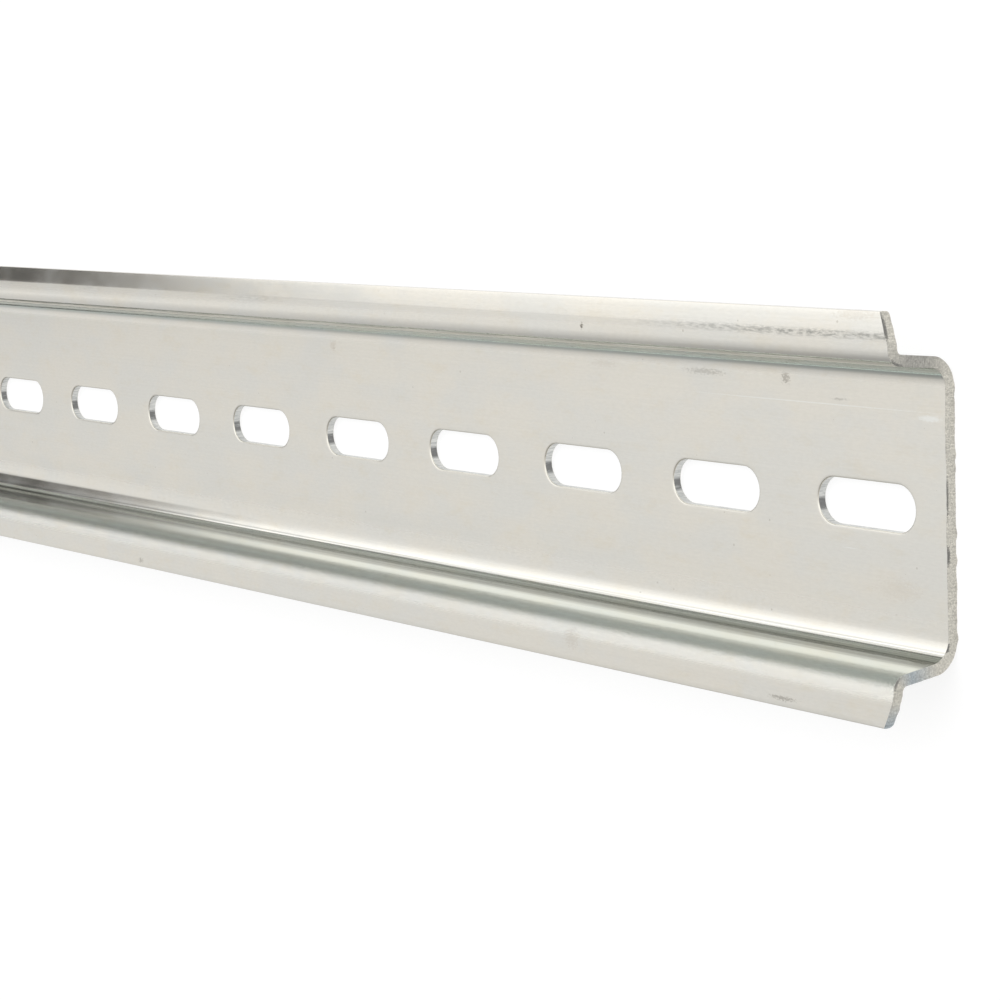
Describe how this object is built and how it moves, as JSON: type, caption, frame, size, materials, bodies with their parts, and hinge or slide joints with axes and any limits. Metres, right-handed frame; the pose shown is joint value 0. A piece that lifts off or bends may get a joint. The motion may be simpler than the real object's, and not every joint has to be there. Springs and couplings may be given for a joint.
{
  "type": "din rail",
  "caption": "Length of slotted top-hat mounting rail in zinc-plated steel, with flanges that devices clip onto and a slotted back for fixing screws.",
  "frame": {"origin": "middle of the back face, at the bottom centre of the bounding box", "axes": "+X along the rail, +Y across it, +Z from the back face out to the flanges"},
  "size_m": [0.5, 0.035, 0.0075],
  "materials": {
    "zinc_plated_steel": "satin zinc plating over cold-rolled strip"
  },
  "bodies": {
    "root": {"rail": "zinc_plated_steel"}
  },
  "joints": []
}
